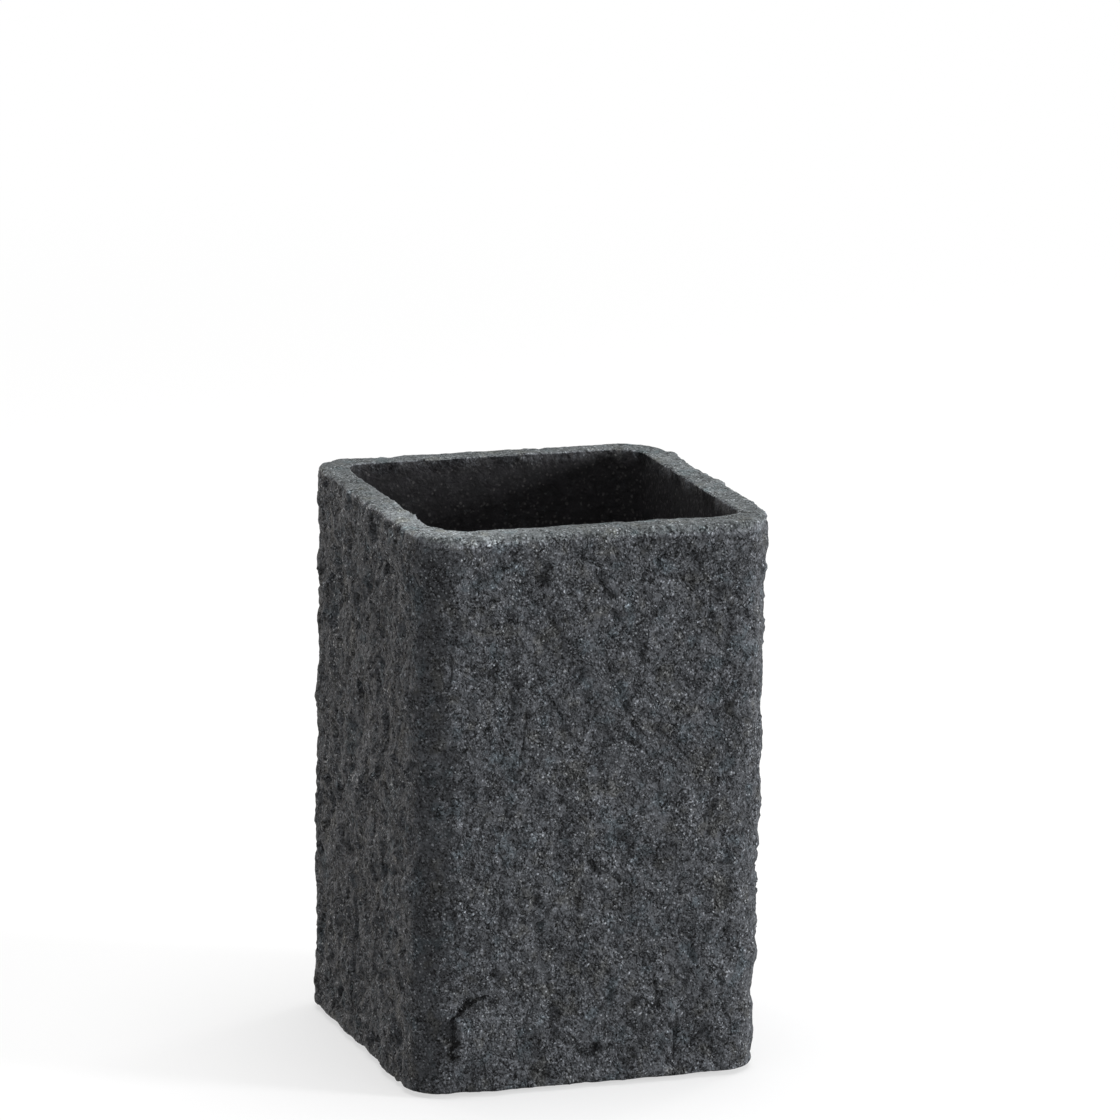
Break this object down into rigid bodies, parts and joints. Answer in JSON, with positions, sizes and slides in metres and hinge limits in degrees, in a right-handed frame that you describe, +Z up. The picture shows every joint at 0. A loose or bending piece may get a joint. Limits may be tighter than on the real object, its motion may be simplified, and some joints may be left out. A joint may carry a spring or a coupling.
{
  "type": "toothbrush tumbler",
  "caption": "Square open cup with rough split-stone faces and a smooth cavity that holds toothbrushes upright, standing on anti-slip feet.",
  "frame": {"origin": "on the standing surface, below the middle of the body", "axes": "+Z up through the open mouth, -Y out of the wide face that the picture shows, +X to its right"},
  "size_m": [0.0715, 0.0714, 0.1066],
  "materials": {
    "stone": "matte",
    "rubber": "matte",
    "tape": "satin"
  },
  "bodies": {
    "root": {"tumbler_body": "stone", "foot_front_left": "rubber", "foot_front_right": "rubber", "foot_back_left": "rubber", "foot_back_right": "rubber", "foot_tape_front_left": "tape", "foot_tape_front_right": "tape", "foot_tape_back_left": "tape", "foot_tape_back_right": "tape"}
  },
  "joints": []
}
